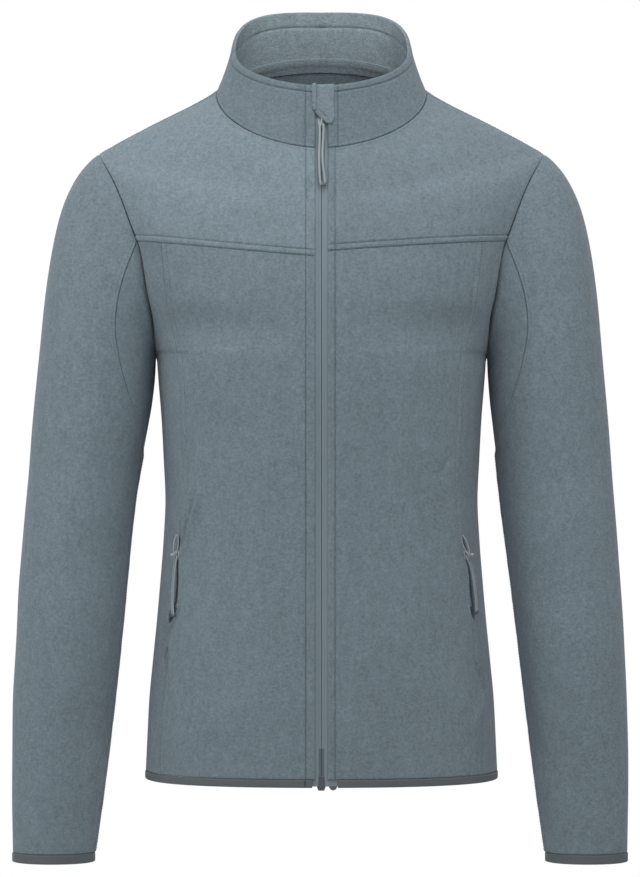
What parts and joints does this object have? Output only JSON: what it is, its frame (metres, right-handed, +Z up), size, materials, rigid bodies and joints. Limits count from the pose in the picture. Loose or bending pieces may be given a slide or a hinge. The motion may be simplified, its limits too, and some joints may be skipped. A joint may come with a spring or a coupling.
{
  "type": "fleece zip jacket",
  "caption": "Slim fleece jacket with a stand-up collar, full front zip, zipped side pockets and bound hem and cuffs, filled out as if worn.",
  "frame": {"origin": "between the wearer's shoulders, at the base of the neck, where the wearer holds the jacket up", "axes": "+Z up, -Y out of the jacket's front, +X towards the wearer's left"},
  "size_m": [0.6117, 0.2434, 0.8514],
  "materials": {
    "fleece": "brushed polyester micro-fleece, matt",
    "binding": "elastic knitted binding, matt",
    "zip_tape": "woven polyester zip tape",
    "zip_plastic": "coiled and moulded polyester, satin",
    "slider_metal": "die-cast zinc, lacquered",
    "cord": "round polyester cord",
    "label": "plain woven label"
  },
  "bodies": {
    "jacket": {"back_panel": "fleece", "back_yoke": "fleece", "front_panel_right": "fleece", "front_panel_left": "fleece", "front_yoke_right": "fleece", "front_yoke_left": "fleece", "side_panel_right": "fleece", "side_panel_left": "fleece", "sleeve_right": "fleece", "sleeve_left": "fleece", "sleeve_gusset_right": "fleece", "sleeve_gusset_left": "fleece", "collar": "fleece", "zip_garage": "fleece", "hem_binding": "binding", "cuff_binding_right": "binding", "cuff_binding_left": "binding", "zip_tape_right": "zip_tape", "zip_tape_left": "zip_tape", "pocket_zip_right": "zip_tape", "pocket_zip_left": "zip_tape", "zip_coil_right": "zip_plastic", "zip_coil_left": "zip_plastic", "zip_box": "zip_plastic", "zip_pin_end": "zip_plastic", "zip_slider": "slider_metal", "pocket_slider_right": "slider_metal", "pocket_slider_left": "slider_metal", "neck_label": "label"},
    "zip_pull": {"zip_pull": "cord"},
    "pocket_pull_right": {"pocket_pull_right": "cord"},
    "pocket_pull_left": {"pocket_pull_left": "cord"}
  },
  "joints": [
    {"name": "zip_pull_swing", "type": "hinge", "parent": "jacket", "child": "zip_pull", "pos_m": [0, -0.09281, -0.03182], "axis": [-1, 0, 0], "range_deg": [0, 90]},
    {"name": "pocket_pull_right_swing", "type": "hinge", "parent": "jacket", "child": "pocket_pull_right", "pos_m": [-0.14215, -0.06163, -0.45477], "axis": [-0.5309, 0.8371, 0.1318], "range_deg": [0, 120]},
    {"name": "pocket_pull_left_swing", "type": "hinge", "parent": "jacket", "child": "pocket_pull_left", "pos_m": [0.14201, -0.06152, -0.45476], "axis": [-0.5285, -0.8387, -0.1314], "range_deg": [0, 120]}
  ]
}
